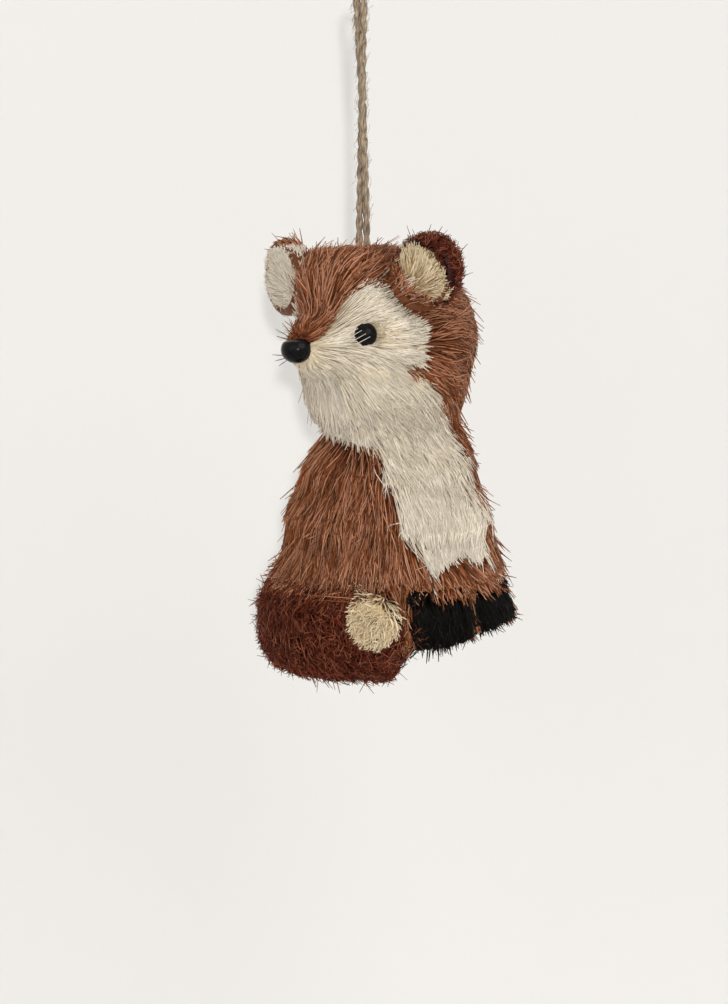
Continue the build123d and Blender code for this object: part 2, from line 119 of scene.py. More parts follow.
THROAT_TOP, THROAT_FADE = -104 * MM, 8 * MM  # below here the head's bristles hang
BACK_FADE, HANG = 16 * MM, 0.9  # and behind the ball's middle, by this much
SHORT_REACH = 18 * MM  # the head's bristles are short this near to the nose
ROOT_REACH = 16 * MM  # and their roots shallow this near to it
RUFF_TOP, RUFF_FADE = -109 * MM, 9 * MM  # a ruff's roots are shallow above here

# Where one colour of the coat gives way to another, by places round the head, ears and body.
LINING_WIDE, LINING_HIGH, LINING_FRONT, LINING_FOOT = 9.2, 5.4, 0.3 * MM, -4 * MM
FAR_LINING_TOP, FAR_LINING_FRONT, FAR_LINING_SIDE = 7.6 * MM, -2.9 * MM, -15 * MM
MASK_BACK, CROWN_FOOT = -7 * MM, -100 * MM
BIB_FOOT, PAW_TOP = 20, 13 * MM
TAIL_TIP_TURN, TAIL_TIP_HEIGHT, TAIL_TIP_WIDE, TAIL_TIP_HIGH = math.radians(-97.5), 8.6 * MM, 7.2, 8.5
TAIL_MIDDLE, TAIL_INNER = 35 * MM, 27 * MM

# Each lamp's bearing and height, how wide it looks (degrees), and its strength.
LAMPS = {"key": (34, 30, 50, 1.12), "fill": (-30, 5, 60, 0.48), "shade": (1.2, 0.5, 1.1, 0.72)}
LIT_LEVEL = 0.40  # strength of the white light from all round
ROOM_SIZE = 6
CAMERA_LENS, CAMERA_ASIDE, CAMERA_HEIGHT = 201.2, 0.27 * MM, -145.9 * MM

TINT_SCALE, BEAD_SCALE = 120, 900  # fineness of the colour's patches and of the beads' haze
TWINE_STEP = 0.5 * MM
PLY_OFFSET, PLY_RADIUS, PLY_PITCH = 0.38 * MM, 0.66 * MM, 9 * MM
HAIR_COUNT, HAIR_RADIUS = 420, 0.045 * MM
HAIR_REACH, HAIR_START, HAIR_BEND = (1.0, 3.4), 0.7 * MM, 0.12
HAIRLESS = 18, 26  # steps without hairs at the twine's two ends
KNOT_HEIGHT, KNOT_RADIUS, KNOT_TURNS = -83.2 * MM, 2.35 * MM, 3.4
KNOT_TOP, KNOT_DROP, KNOT_STEPS = 1.2, 3.1, 90
KNOT_STRAND = 0.95 * MM


# ---------------- settings


def size(name, description, value, **more):
    """A length that a user may change."""
    return FloatProperty(name=name, description=description, default=value, unit="LENGTH", **more)


def colour(name, description, value):
    """A colour that a user may change."""
    return FloatVectorProperty(
        name=name, description=description, default=value, subtype="COLOR", size=3, min=0, max=1
    )


class FoxBristleSettings(bpy.types.PropertyGroup):
    """Sizes of the bristle."""

    thickness: size("Bristle thickness", "Width of one bristle at its root", 0.36 * MM, precision=5)
    fineness: FloatProperty(
        name="Tip width",
        description="Width of a bristle's tip as a share of its root",
        default=0.4,
        subtype="FACTOR",
        min=0.05,
        max=1,
    )
    density: FloatProperty(
        name="Density", description="Multiplies how many bristles each coat has", default=1.0, min=0.1, max=2
    )


class FoxColourSettings(bpy.types.PropertyGroup):
    """Colours of the coat, beads and twine."""

    brown: colour("Brown bristle", "Tips of the brown coat", (0.38, 0.12, 0.04))
    cream: colour("Cream bristle", "Tips of the mask, bib and ruff", (0.94, 0.85, 0.71))
    russet: colour("Russet pile", "Tips of the tail and ear rims", (0.165, 0.030, 0.012))
    black: colour("Black bristle", "Tips of the paws", (0.008, 0.007, 0.006))
    bead: colour("Bead", "Nose and eyes", (0.0025, 0.0025, 0.003))
    jute: colour("Jute", "Twine", (0.52, 0.40, 0.28))
    backdrop: colour("Backdrop", "Wall and floor", (0.828, 0.814, 0.786))


class FoxStageSettings(bpy.types.PropertyGroup):
    """Camera and room."""

    camera_distance: size("Camera distance", "From the twine's line to the camera", 1.5)
    wall_distance: size("Wall distance", "From the twine's line to the wall behind", 0.18)
    floor_drop: size("Floor drop", "From the hook down to the floor", 0.42)


# ---------------- makers


def new_object(name, data):
    """Adds an object to the scene."""
    obj = bpy.data.objects.new(name, data)
    bpy.context.scene.collection.objects.link(obj)
    return obj


@contextmanager
def shaped(mesh, start=None):
    """Opens a mesh for work on its points and faces, begun from another mesh where one is given."""
    work = bmesh.new()
    work.from_mesh(start or mesh)
    yield work
    work.to_mesh(mesh)
    work.free()


def smoothed(mesh):
    """Shades all of a mesh smooth."""
    mesh.polygons.foreach_set("use_smooth", np.ones(len(mesh.polygons), bool))
    return mesh


def read(items, name, kind, width=1):
    """One value of each of a mesh's points, corners or faces, as a plain array."""
    values = np.empty(len(items) * width, kind)
    items.foreach_get(name, values)
    return values


def mark(mesh, name, values):
    """Writes one number for each point of a mesh."""
    values = np.asarray(values, np.float32)
    mesh.attributes.new(name, "FLOAT", "POINT").data.foreach_set("value", values)


def new_curve(name, lines, kind="POLY", radii=None, dimensions="3D", **settings):
    """A curve along several lines of points, which may have a radius at each point."""
    data = bpy.data.curves.new(name, "CURVE")
    data.dimensions = dimensions
    for setting, value in settings.items():
        setattr(data, setting, value)
    for i, line in enumerate(lines):
        spline = data.splines.new(kind)
        spline.points.add(len(line) - 1)
        places = np.ones((len(line), 4), np.float32)
        places[:, :3] = line
        spline.points.foreach_set("co", places.ravel())
        if radii:
            spline.points.foreach_set("radius", radii[i])
    return data


def mesh_of(curve):
    """The mesh that a curve draws. The curve itself is removed."""
    obj = new_object(curve.name, curve)
    bpy.context.view_layer.update()
    mesh = bpy.data.meshes.new_from_object(obj.evaluated_get(bpy.context.evaluated_depsgraph_get()))
    bpy.data.objects.remove(obj)
    bpy.data.curves.remove(curve)
    return mesh


def joined(base, mesh):
    """Adds a mesh to an object's own."""
    both = [base, new_object("added", mesh)]
    with bpy.context.temp_override(
        active_object=base, object=base, selected_objects=both, selected_editable_objects=both
    ):
        bpy.ops.object.join()


def wear(obj, material):
    """Gives an object one material in place of what it has."""
    obj.data.materials.clear()
    obj.data.materials.append(material)


def finished(obj, material, body, slot, *nodes):
    """Gives a piece its material and what it moves with, and hides the plain solids it stands for. Its slot
    is not used.
    """
    wear(obj, material)
    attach(obj, body)
    if nodes:
        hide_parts(*nodes)
    return obj


# ---------------- materials


def fill(tree, node, inputs):
    """Sets a node's inputs: each is a number, a colour or the socket that feeds it."""
    for socket, value in inputs.items():
        if isinstance(value, bpy.types.NodeSocket):
            tree.links.new(value, node.inputs[socket])
        else:
            node.inputs[socket].default_value = value
    return node


def add_node(tree, kind, inputs=None, **settings):
    """Adds a shader node with its settings and inputs."""
    node = tree.nodes.new("ShaderNode" + kind)
    for name, value in settings.items():
        setattr(node, name, value)
    return fill(tree, node, inputs or {})


def opaque(rgb):
    """A colour with its alpha."""
    return (*rgb, 1)


def new_material(name):
    """A material with its shader's tree and the Principled shader itself."""
    material = bpy.data.materials.new(name)
    material.use_nodes = True
    return material, material.node_tree, material.node_tree.nodes["Principled BSDF"]


def noise_of(tree, place, scale, detail):
    """Smooth noise about a place."""
    return add_node(tree, "TexNoise", {"Vector": place, "Scale": scale, "Detail": detail}).outputs["Fac"]


def ramp_of(tree, value, *stops):
    """A colour that follows a value between two stops."""
    node = add_node(tree, "ValToRGB", {0: value})
    for element, (place, rgb) in zip(node.color_ramp.elements, stops):
        element.position, element.color = place, opaque(rgb)
    return node.outputs[0]


def bristle_tint_group():
    """Node group: a bristle's colour from its root to its tip, darker at the root as painted shade deep in
    the coat, with its own random tone and paler strays.
    """
    title = "Bristle tint"
    if title in bpy.data.node_groups:
        return bpy.data.node_groups[title]
    group = bpy.data.node_groups.new(title, "ShaderNodeTree")
    kinds = {"Color": ("Root", "Tip", "Pale", "Other"), "Float": ("Pale share", "Patchiness", "Variety")}
    for kind, sockets in kinds.items():
        for socket in sockets:
            group.interface.new_socket(socket, in_out="INPUT", socket_type="NodeSocket" + kind)
    for socket, kind in (("Colour", "Color"), ("Roughness", "Float")):
        group.interface.new_socket(socket, in_out="OUTPUT", socket_type="NodeSocket" + kind)
    given, end = group.nodes.new("NodeGroupInput").outputs, group.nodes.new("NodeGroupOutput")
    shade, along, other = (
        add_node(group, "Attribute", attribute_name=name).outputs["Fac"]
        for name in ("shade", "along", "other")
    )

    def maths(operation, first, second):
        return add_node(group, "Math", {0: first, 1: second}, operation=operation).outputs[0]

    def mix(share, first, second):
        return add_node(group, "Mix", {0: share, 6: first, 7: second}, data_type="RGBA").outputs[2]

    rise = maths("POWER", along, 0.6)
    is_pale = maths("GREATER_THAN", shade, maths("SUBTRACT", 1.0, given["Pale share"]))
    # The root is darker than the tip: painted shade where the bristles lie deep in the coat.
    tint = mix(rise, given["Root"], given["Tip"])
    tint = mix(maths("MULTIPLY", is_pale, rise), tint, given["Pale"])
    # Where bristle of another colour covers an underlay, the underlay shows that colour, dimmed as painted
    # shade.
    tint = mix(other, tint, given["Other"])
    noise = noise_of(group, add_node(group, "TexCoord").outputs["Object"], TINT_SCALE, 3)
    patch = maths("MULTIPLY", maths("SUBTRACT", noise, 0.5), given["Patchiness"])
    own = maths("MULTIPLY", maths("SUBTRACT", shade, 0.5), given["Variety"])
    level = maths("ADD", maths("ADD", own, patch), 1.0)
    scaled = add_node(group, "VectorMath", {0: tint, "Scale": level}, operation="SCALE")
    rough = maths("ADD", maths("MULTIPLY", shade, 0.2), 0.38)
    fill(group, end, {"Colour": scaled.outputs[0], "Roughness": rough})
    return group


def bristle_material(name, base, root, pale, pale_share, patchiness, variety, specular, other):
    """The finish of one coat of bristle. The root, darkened as painted shade, and the pale strays are given
    as shares of its own colour. Other is the colour of the bristle beside it, which the underlay shows dimmed
    as painted shade where that bristle covers it."""
    material, tree, shader = new_material(name)
    tint = add_node(
        tree,
        "Group",
        {
            "Root": opaque(c * r for c, r in zip(base, root)),
            "Tip": opaque(base),
            "Pale": opaque(min(1, c * p) for c, p in zip(base, pale)),
            # Dimmed to 0.6: painted shade under the other colour's bristles.
            "Other": opaque(c * 0.6 for c in other),
            "Pale share": pale_share,
            "Patchiness": patchiness,
            "Variety": variety,
        },
        node_tree=bristle_tint_group(),
    ).outputs
    looks = {"Base Color": tint["Colour"], "Roughness": tint["Roughness"], "Specular IOR Level": specular}
    fill(tree, shader, looks)
    return material


# Each coat's finish: its colour and what tones it, its root (darker, as painted shade deep in the coat) and
# its pale strands as shares of that, how many are pale, its patchiness and variety, its specular level, and
# the colour of the bristle beside it, which the underlay shows dimmed as painted shade.
AS_IT_IS = (1, 1, 1)
BRISTLE_LOOKS = {
    "brown_bristle": (
        "brown", AS_IT_IS, (0.5, 0.4, 0.35), (1.05, 1.66, 2.95), 0.45, 0.5, 1.4, 0.15, "cream"
    ),
    "cream_bristle": (
        "cream", AS_IT_IS, (0.8, 0.72, 0.56), (1.0, 1.02, 1.05), 0.35, 0.12, 0.22, 0.4, "brown"
    ),
    "warm_cream": (
        "cream", (0.93, 0.85, 0.68), (0.75, 0.65, 0.5), (1.02, 1.05, 1.1), 0.35, 0.15, 0.3, 0.3, "brown"
    ),
    "russet_pile": (
        "russet", AS_IT_IS, (0.25, 0.12, 0.08), (1.35, 2.5, 3.2), 0.27, 0.6, 1.4, 0.15, "brown"
    ),
    "black_bristle": (
        "black", AS_IT_IS, (0.5, 0.5, 0.5), (2.5, 2.5, 2.5), 0.06, 0.2, 0.8, 0.08, "black"
    ),
}
FINISHES = {}


def coat_finishes():
    """The coats' materials, made once."""
    if not FINISHES:
        colours = bpy.context.scene.fox_colours
        for key, (own, tone, root, pale, *numbers, other) in BRISTLE_LOOKS.items():
            base = tuple(c * t for c, t in zip(getattr(colours, own), tone))
            name = key.replace("_", " ").capitalize()
            FINISHES[key] = bristle_material(name, base, root, pale, *numbers, getattr(colours, other))
    return FINISHES


def grained_material(name, base, dark, scale, roughness, bump, stretch=(1, 1, 1), specular=0.3):
    """A finish with fine uneven grain: card, felt, wood or jute."""
    material, tree, shader = new_material(name)
    place = add_node(tree, "TexCoord").outputs["Object"]
    mapped = add_node(tree, "Mapping", {"Vector": place, "Scale": stretch}).outputs[0]
    noise = noise_of(tree, mapped, scale, 6)
    relief = add_node(tree, "Bump", {"Strength": bump, "Distance": 0.2 * MM, "Height": noise}).outputs[0]
    tint = ramp_of(tree, noise, (0.35, dark), (0.65, base))
    looks = {"Base Color": tint, "Normal": relief, "Roughness": roughness, "Specular IOR Level": specular}
    fill(tree, shader, looks)
    return material


def bead_material():
    """Polished black bead with faint haze and dust."""
    material, tree, shader = new_material("Polished black bead")
    base = tuple(bpy.context.scene.fox_colours.bead)
    noise = noise_of(tree, add_node(tree, "TexCoord").outputs["Object"], BEAD_SCALE, 5)
    haze = add_node(tree, "MapRange", {"Value": noise, "To Min": 0.16, "To Max": 0.24}).outputs[0]
    tint = ramp_of(tree, noise, (0, base), (1, tuple(c * 2.2 for c in base)))
    fill(tree, shader, {"Base Color": tint, "Roughness": haze, "Specular IOR Level": 0.12})
    return material


def backdrop_material(name, see_through):
    """A matt pale surface, which may be clear from behind."""
    material, tree, shader = new_material(name)
    base = opaque(bpy.context.scene.fox_colours.backdrop)
    fill(tree, shader, {"Base Color": base, "Roughness": 1, "Specular IOR Level": 0})
    if see_through:
        behind = add_node(tree, "NewGeometry").outputs["Backfacing"]
        clear = add_node(tree, "BsdfTransparent").outputs[0]
        either = add_node(tree, "MixShader", {0: behind, 1: shader.outputs[0], 2: clear}).outputs[0]
        fill(tree, tree.nodes["Material Output"], {0: either})
    return material


# ---------------- coat surfaces


def triangles_of(mesh):
    """The corners and outward directions of a mesh's triangles, and their areas."""
    mesh.calc_loop_triangles()
    places = read(mesh.vertices, "co", np.float32, 3).reshape(-1, 3)
    corners = read(mesh.loop_triangles, "vertices", np.int32, 3).reshape(-1, 3)
    a, b, c = (places[corners[:, i]] for i in range(3))
    out = np.cross(b - a, c - a)
    double = np.linalg.norm(out, axis=1)
    double[double == 0] = 1e-20
    return a, b, c, out / double[:, None], double / 2


FINE = {}


def fine_mesh(node):
    """A coat's own surface cut into small triangles, made once."""
    if node not in FINE:
        FINE[node] = bpy.data.meshes.new(node + "_fine")
        with shaped(FINE[node], NODES[node].data) as work:
            bmesh.ops.remove_doubles(work, verts=work.verts, dist=0.002 * MM)
            for _ in range(5):
                bmesh.ops.triangulate(work, faces=work.faces)
                long_edges = [e for e in work.edges if e.calc_length() > FINE_EDGE]
                if not long_edges:
                    break
                bmesh.ops.subdivide_edges(work, edges=long_edges, cuts=1)
            bmesh.ops.triangulate(work, faces=work.faces)
    return FINE[node]


def tree_of(nodes, keep=None):
    """A search tree over the triangles of several nodes that keep names, and whose each triangle is."""
    places, faces, owners = [], [], []
    for node in nodes:
        a, b, c, _, _ = triangles_of(NODES[node].data if keep is None else fine_mesh(node))
        used = range(len(a)) if keep is None else np.flatnonzero(keep[node])
        for i in used:
            n = len(places)
            places += [a[i], b[i], c[i]]
            faces.append((n, n + 1, n + 2))
            owners.append(node)
    return BVHTree.FromPolygons(places, faces), owners


def stands_free(solids, point, out):
    """True where nothing of the fox covers a point of a coat."""
    hit, facing, _, distance = solids.ray_cast(point + out * 0.05 * MM, out, SIGHT)
    return hit is None or (facing.dot(out) < 0 and distance > COVER_GAP)


Skin = namedtuple("Skin", "solids free combed outer owners hull hull_owners")


def read_skin():
    """Finds which triangles of each coat are seen from outside, and search trees over them."""
    solids, _ = tree_of([n for n in NODES if n not in ("hanging_loop", "loop_knot")])
    free, combed = {}, {}
    for node in COAT_NODES:
        a, b, c, out, _ = triangles_of(fine_mesh(node))
        middle = (a + b + c) / 3
        free[node] = np.array([stands_free(solids, Vector(m), Vector(o)) for m, o in zip(middle, out)], bool)
        combed[node] = free[node]
        if any(h in node for h in HEMMED):
            combed[node] = free[node] & (out @ np.array(BODY_UP) >= HEM_SLOPE)
    return Skin(solids, free, combed, *tree_of(COAT_NODES, combed), *tree_of(COAT_NODES, free))


SKIN = []


def skin_now():
    """The coats' outer surface, read once."""
    if not SKIN:
        SKIN.append(read_skin())
    return SKIN[0]


def spot(place):
    """The small cell that a place lies in, by which the same point is found again."""
    return tuple(np.round(np.array(place) / WELD).astype(int))


def underlay(node, skin, depth, name):
    """A coat's own surface, with what shows of it drawn in, for its bristles to stand on."""
    mesh = fine_mesh(node).copy()
    mesh.name = name
    a, b, c, out, area = triangles_of(mesh)
    pull, inward = {}, {}
    for i in np.flatnonzero(skin.free[node]):
        for key in map(spot, (a[i], b[i], c[i])):
            pull.setdefault(key, Vector((0, 0, 0)))
            pull[key] += Vector(out[i]) * float(area[i] + 1e-12)
    with shaped(mesh) as work:
        for vert in work.verts:
            way = pull.get(spot(vert.co))
            if way is not None and way.length > 0:
                inward[vert] = way.normalized()
        # What lies just under a neighbour's edge is drawn in with the rest.
        for _ in range(DRAWN_RINGS):
            further = {}
            for vert in (v for v in work.verts if v not in inward):
                for edge in vert.link_edges:
                    way = inward.get(edge.other_vert(vert))
                    if way is not None and vert.normal.dot(way) > 0.3:
                        further[vert] = way
            inward.update(further)
        for vert, way in inward.items():
            vert.co -= way * depth * recess(node, vert.co)
    mesh.validate()
    mesh.materials.clear()
    return new_object(name, smoothed(mesh))


def scatter_roots(node, skin, per_mm2, rng):
    """Points spread evenly over what shows of a coat, each with its outward direction."""
    a, b, c, out, area = triangles_of(fine_mesh(node))
    area = np.where(skin.combed[node], area, 0)
    for bead in BEADS:
        near = np.linalg.norm((a + b + c) / 3 - np.array(bead), axis=1) / BEAD_CROWD
        area = area * (1 + CROWDING * np.clip(1 - near, 0, 1))
    count = int(area.sum() * 1e6 * per_mm2 * bpy.context.scene.fox_bristle.density)
    picks = np.random.default_rng(rng.randrange(1 << 30))
    which = picks.choice(len(area), count, p=area / area.sum())
    u, v = picks.random(count), picks.random(count)
    over = u + v > 1
    u[over], v[over] = 1 - u[over], 1 - v[over]
    points = a[which] + (b - a)[which] * u[:, None] + (c - a)[which] * v[:, None]
    return [
        (Vector(p), Vector(o))
        for p, o in zip(points, out[which])
        if stands_free(skin.solids, Vector(p), Vector(o)) and not bare(Vector(p))
    ]


# ---------------- combing

WAVES = [
    (Vector(w) / MM, phase)
    for w, phase in (
        ((0.21, 0.13, 0.17), 0.3),
        ((-0.16, 0.24, 0.11), 1.9),
        ((0.35, -0.31, 0.42), 4.1),
        ((0.12, 0.52, -0.46), 2.6),
    )
]


def wander(point):
    """A slow change over the coat, from about -1 to 1, that gathers bristles into locks."""
    return sum(math.sin(point.dot(w) + phase) for w, phase in WAVES) / 2.2


def flat(direction, out):
    """A direction laid along the surface."""
    along = direction - out * direction.dot(out)
    return along.normalized() if along.length > 1e-9 else out.orthogonal().normalized()


def comb_head(point, out):
    """Away from the nose, and down over the throat and the back of the head."""
    away = (point - NOSE_PLACE).normalized()
    back = min(1, max(0, -(point - BALL_PLACE).dot(HEAD_FORWARD) / BACK_FADE))
    low = min(1, max(0, (THROAT_TOP - point.z) / THROAT_FADE))
    return flat(away - Vector((0, 0, HANG)) * max(back, low), out)


def comb_ruff(point, out):
    """Away from the nose and down over the shoulders."""
    return flat((point - NOSE_PLACE).normalized() + Vector((0, 0, -0.7)), out)


def comb_body(point, out):
    """Down the cone."""
    return flat(-BODY_UP, out)


def comb_bib(point, out):
    """Down the chest to one gathered tip."""
    return flat((BIB_GATHER - point).normalized(), out)


def comb_tail(point, out):
    """Round the base, towards the tail's tip."""
    local = BODY_INVERSE @ point
    along = BODY_FRAME.to_3x3() @ Vector((-local.y, local.x, 0))
    return flat(along.normalized(), out)


def comb_tip(point, out):
    """Slantwise down across the tail's tip."""
    return flat(Vector((-0.6, 0, -1)), out)


def ear_middle(side):
    """Where an ear stands."""
    aside = HEAD_PLACE + HEAD_LEFT * side * EAR_LEFT * MM
    return aside + HEAD_UP * EAR_UP * MM + HEAD_FORWARD * EAR_AHEAD * MM


def comb_ear(point, out):
    """Outwards from the ear's root."""
    side = 1 if (point - BALL_PLACE).dot(HEAD_LEFT) > 0 else -1
    root = ear_middle(side) - (HEAD_LEFT * side + HEAD_UP * 0.8).normalized() * EAR_ROOT
    return flat((point - root).normalized(), out)


def ear_frame(side):
    """An ear's own frame, taken to its middle: across, up along it, and the way it faces."""
    turned = (
        Matrix([HEAD_LEFT, HEAD_UP, HEAD_FORWARD]).transposed()
        @ Matrix.Rotation(side * EAR_TURN, 3, "Y")
        @ Matrix.Rotation(-side * EAR_TIP, 3, "Z")
    )
    return (Matrix.Translation(ear_middle(side)) @ turned.to_4x4()).inverted()


EAR_FRAMES = {1: ear_frame(1), -1: ear_frame(-1)}


def ear_patch(node, point):
    """A cream lining across the front of an ear, a russet rim, and the head's brown over its root."""
    side = 1 if "left" in node else -1
    name = "left" if side > 0 else "right"
    across, up, ahead = EAR_FRAMES[side] @ point
    if side > 0:
        lined = (across / LINING_WIDE) ** 2 + (up / LINING_HIGH) ** 2 < MM**2 and ahead > LINING_FRONT
        brown = up < LINING_FOOT
    else:
        brown = ahead > FAR_LINING_FRONT
        lined = brown and (point - ear_middle(side)).z < FAR_LINING_TOP and point.x < FAR_LINING_SIDE
    return f"ear_lining_{name}" if lined else "crown_bristles" if brown else f"ear_pile_{name}"


# The cream mask's outline on the near cheek, as (across, height) in mm; the far cheek mirrors it.
MASK_OUTLINE = [
    (-17.9, -105.8), (-12.3, -103.9), (-7.5, -96.9), (-2.4, -90.0), (0.8, -89.3), (6.3, -90.2),
    (11.3, -94.8), (15.3, -99.2), (16.4, -104.2), (15.6, -109.8), (11.0, -110.8), (11.5, -112.0),
    (18.6, -114.9), (21.8, -122.9), (24.8, -129.3), (25.5, -140.0), (-33.0, -140.0), (-33.0, -105.8),
]


def within(outline, x, y):
    """True where a point lies inside a closed outline."""
    inside = False
    for (x0, y0), (x1, y1) in zip(outline, outline[1:] + outline[:1]):
        if (y0 > y) != (y1 > y) and x < (x1 - x0) * (y - y0) / (y1 - y0) + x0:
            inside = not inside
    return inside


def head_patch(node, point):
    """Which of the head's colours a point has, by the mask's outline."""
    aside = (point - HEAD_PLACE).dot(HEAD_LEFT)
    near = point - HEAD_LEFT * min(0, 2 * aside)
    ragged = wander(point * 1.7) * 0.7
    masked = near.y < MASK_BACK and within(MASK_OUTLINE, near.x / MM + ragged, near.z / MM + ragged)
    if masked == ("cheek" in node or "chin" in node or "throat" in node):
        return node
    if "ruff" in node:
        return "throat_ruff" if masked else "nape_ruff"
    if masked:
        return "cheek_bristles_left" if aside > 0 else "cheek_bristles_right"
    return "crown_bristles" if point.z > CROWN_FOOT else "nape_bristles"


def bib_patch(node, point):
    """The bib ends in a ragged line above the paws, with brown below it."""
    height = (BODY_INVERSE @ point).z
    return "body_bristles_1" if height < (BIB_FOOT + 1.5 * wander(point)) * MM else node


def paw_span():
    """The part of the base's edge that the paws stand on, as two turns about the body."""
    paws = [NODES["paw_bristles_left"], NODES["paw_bristles_right"]]
    places = [BODY_INVERSE @ v.co for paw in paws for v in paw.data.vertices]
    turns = [math.atan2(p.y, p.x) for p in places]
    return min(turns), max(turns)


PAW_SPAN = paw_span()


def skirt_patch(node, point):
    """The lowest brown skirt gives way to black between the paws."""
    local = BODY_INVERSE @ point
    start, end = PAW_SPAN
    paws = start < math.atan2(local.y, local.x) < end and local.z < PAW_TOP
    return "paw_bristles_left" if paws else node


def tail_patch(node, point):
    """The cream tip is an oval on the tail's outer face."""
    local = BODY_INVERSE @ point
    aside = TAIL_MIDDLE * (math.atan2(local.y, local.x) - TAIL_TIP_TURN)
    inside = (aside / TAIL_TIP_WIDE) ** 2 + ((local.z - TAIL_TIP_HEIGHT) / TAIL_TIP_HIGH) ** 2 < MM**2
    outwards = Vector((local.x, local.y, 0)).length > TAIL_INNER
    return "tail_tip_bristles" if inside and outwards else "tail_bristles"


PATCHES = {"ear": ear_patch, "tail": tail_patch, "bib": bib_patch, "body_bristles_1": skirt_patch}
PATCHES.update({n: head_patch for n in ("forehead", "crown", "nape", "cheek", "chin", "throat")})


def patch_for(node):
    """What parts a coat into colours, if anything does."""
    return next((patch for start, patch in PATCHES.items() if node.startswith(start)), None)


def whose(node, point):
    """The coat whose colour a point on a node's surface has."""
    patch = patch_for(node)
    return patch(node, point) if patch else node


# How a coat is combed: its field; bristles per square mm; their length, the depth of the root, the rise
# of the tip (mm); the spread of direction; curl (mm); the share of strays; the bend of each run; how far a
# bristle may lie over another colour (mm); the coats it stops short of; how far it may hang over others, and
# the lowest that its tips reach above the base (mm).
Coat = namedtuple(
    "Coat",
    "comb per_mm2 length depth rise spread curl strays swirl spill stops over lowest",
    defaults=((), 0, -50),
)

HEAD_COAT = Coat(comb_head, 1.8, 12.0, 2.2, 0.9, 0.20, 0.16, 0.04, 0.15, 5)
MASK_COAT = Coat(comb_head, 2.2, 15.0, 1.6, 0.5, 0.12, 0.08, 0.012, 0.06, 0.8)
RUFF_COAT = Coat(comb_ruff, 2.3, 14.0, 1.6, 0.7, 0.15, 0.10, 0.02, 0.08, 2, ("body",), 2.5)
BODY_COAT = Coat(comb_body, 1.5, 16.0, 2.2, 0.9, 0.17, 0.16, 0.05, 0.1, 3, ("tail", "paw"), 2.5, -2)
BIB_COAT = Coat(comb_bib, 2.3, 15.0, 1.6, 0.6, 0.12, 0.10, 0.015, 0.06, 2.5, lowest=16.5)
PAW_COAT = Coat(comb_body, 3.6, 9.0, 1.8, 0.8, 0.16, 0.08, 0.05, 0.1, 3, lowest=-6.5)
TAIL_COAT = Coat(comb_tail, 2.2, 7.0, 2.2, 0.9, 0.7, 0.4, 0.03, 0.9, 2)
TIP_COAT = Coat(comb_tip, 3.8, 4.2, 1.8, 1.4, 0.5, 0.12, 0.0, 0.2, 0)
EAR_COAT = Coat(comb_ear, 2.6, 3.8, 1.6, 0.9, 0.4, 0.25, 0.03, 0.3, 1.2)
LINING_COAT = Coat(comb_ear, 3.0, 7.0, 1.3, 0.7, 0.2, 0.10, 0.0, 0.08, 0.6)


def in_swing_room(point):
    """True in the slot through the crown that the twine swings in."""
    above = point.z - KNOT_HEIGHT
    return above > 0 and abs(point.x) < 2.6 * MM and abs(point.y) < above * 0.53 + 1.9 * MM


def bare(point):
    """True within a bead's own room, or the twine's."""
    return in_swing_room(point) or any((point - bead).length < BEAD_ROOM for bead in BEADS)


def recess(node, point):
    """How deep bristles are rooted at a point, as a share: shallow by the nose and at a ruff's top."""
    share = (point - NOSE_PLACE).length / ROOT_REACH
    if "ruff" in node:
        share = min(share, (RUFF_TOP - point.z) / RUFF_FADE)
    return min(1, max(0.15, share))


def lay(coat, node, point, out, turn, swirl, length, skin):
    """Lays a line along the coat: its places, the way out at each, and whose ground each is on."""
    place, up, ground, along = point, out, node, None
    steps = [(place, up, ground)]
    for step in range(STEPS):
        wanted = coat.comb(place, up)
        wanted.rotate(Quaternion(up, turn + swirl * step))
        along = flat(wanted if along is None else along + wanted * COMBED_SHARE, up)
        ahead = place + along * length / STEPS
        near, facing, index, _ = skin.hull.ray_cast(ahead + up * REACH, -up, 2 * REACH)
        if near is not None and facing.dot(up) > OVER_FACING:
            place, up, ground = near, (up + facing * 0.7).normalized(), skin.hull_owners[index]
        else:
            near, facing, index, distance = skin.outer.find_nearest(ahead)
            if near is not None and facing.dot(up) > NEAR_FACING and distance < ASIDE:
                place, up, ground = ahead.lerp(near, CLING), (up + facing).normalized(), skin.owners[index]
            else:
                place = place.lerp(ahead, FREE_SHARE)
        steps.append((place, up, ground))
    return steps


def spilt(owner, steps, group, spill):
    """True where a bristle lies further over another colour than it may."""
    (tip, _, under), (before, _, under_before) = steps[-1], steps[-2]
    back = before - tip
    point = tip + back.normalized() * min(spill, back.length)
    ground = whose(under if spill < back.length / 2 else under_before, point)
    return ground in group and group[ground].slot != group[owner].slot


def settle(node, owner, group, point, out, skin, rng):
    """How one bristle lies: its steps along the coat and its length, cut back while it oversteps its bounds.
    None where it can't be held within them."""
    coat = group[owner].coat
    turn = wander(point) * WANDER + rng.gauss(0, coat.spread)
    length = coat.length * MM * rng.uniform(*LENGTHS)
    if coat.comb is comb_head:
        length *= min(1, 0.4 + (point - NOSE_PLACE).length / SHORT_REACH)
    swirl = rng.gauss(0, coat.swirl)
    lowest = (coat.lowest + rng.uniform(0, 3)) * MM
    spill = coat.spill * MM * rng.random()

    def laid(length):
        return lay(coat, node, point, out, turn, swirl, length, skin)

    steps = laid(length)
    for _ in range(TRIES):
        stopped = steps[-1][2].startswith(coat.stops)
        stopped = stopped or patch_for(node) and spilt(owner, steps, group, spill)
        stopped = stopped or any(bare(place) for place, _, _ in steps[1:])
        if not stopped and (BODY_INVERSE @ steps[-1][0]).z > lowest:
            break
        length *= CUT
        steps = laid(length)
    else:
        if (BODY_INVERSE @ steps[-1][0]).z < lowest - 1.5 * MM:
            return None
    if coat.over and steps[-1][2] != node:
        steps = laid(length + coat.over * MM * rng.random())
    return steps, length


